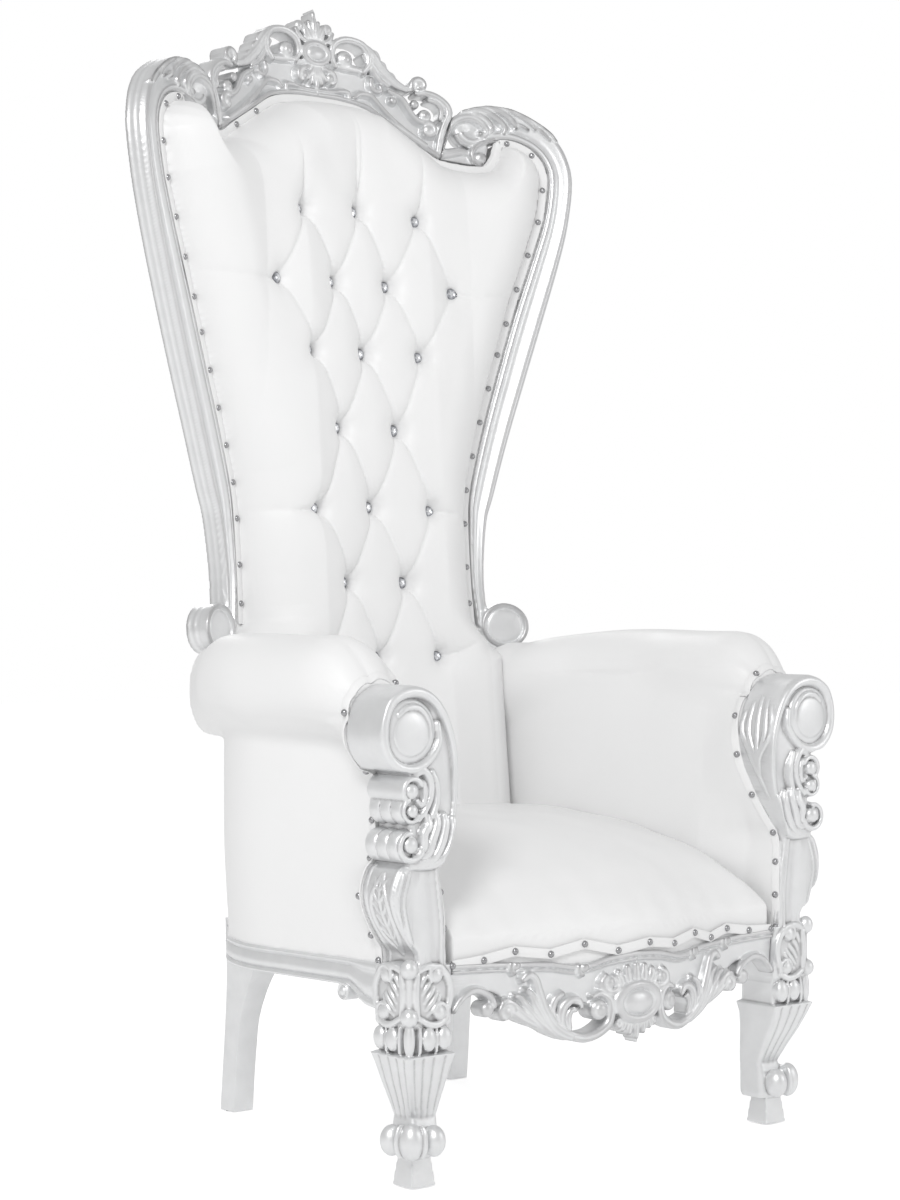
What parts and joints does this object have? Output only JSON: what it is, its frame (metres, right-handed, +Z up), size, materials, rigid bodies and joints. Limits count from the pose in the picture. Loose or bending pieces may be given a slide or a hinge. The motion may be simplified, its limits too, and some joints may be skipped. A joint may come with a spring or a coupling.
{
  "type": "throne chair",
  "caption": "High-back throne with a carved and pierced silver-painted wood frame, tufted white back, padded rolled arms and a crowned seat.",
  "frame": {"origin": "on the floor, under the middle of the throne's bounding box", "axes": "+Z up, the sitter looks along -Y, +X to the right as one faces the throne"},
  "size_m": [0.942, 0.8274, 1.7993],
  "materials": {
    "silver_paint": "satin silver paint over carved wood",
    "white_vinyl": "semi-gloss white leatherette with fine creases",
    "white_band": "white gimp band",
    "crystal": "faceted clear crystal with a silvered back",
    "nail_silver": "polished dome nail",
    "nylon": "matte"
  },
  "bodies": {
    "root": {"front_post_left": "silver_paint", "front_post_right": "silver_paint", "rear_leg_left": "silver_paint", "rear_leg_right": "silver_paint", "seat_rail_left": "silver_paint", "seat_rail_right": "silver_paint", "seat_rail_front": "silver_paint", "seat_rail_rear": "silver_paint", "back_stile_left": "silver_paint", "back_stile_right": "silver_paint", "crest_rail": "silver_paint", "back_cushion": "white_vinyl", "outside_back_panel": "white_vinyl", "seat_cushion": "white_vinyl", "arm_upholstery_left": "white_vinyl", "arm_upholstery_right": "white_vinyl", "back_gimp_band": "white_band", "seat_gimp_band": "white_band", "foot_glide_front_left": "nylon", "foot_glide_front_right": "nylon", "foot_glide_rear_left": "nylon", "foot_glide_rear_right": "nylon", "back_button_01": "crystal", "back_button_02": "crystal", "back_button_03": "crystal", "back_button_04": "crystal", "back_button_05": "crystal", "back_button_06": "crystal", "back_button_07": "crystal", "back_button_08": "crystal", "back_button_09": "crystal", "back_button_10": "crystal", "back_button_11": "crystal", "back_button_12": "crystal", "back_button_13": "crystal", "back_button_14": "crystal", "back_button_15": "crystal", "back_button_16": "crystal", "back_button_17": "crystal", "back_button_18": "crystal", "back_button_19": "crystal", "back_button_20": "crystal"}
  },
  "joints": []
}
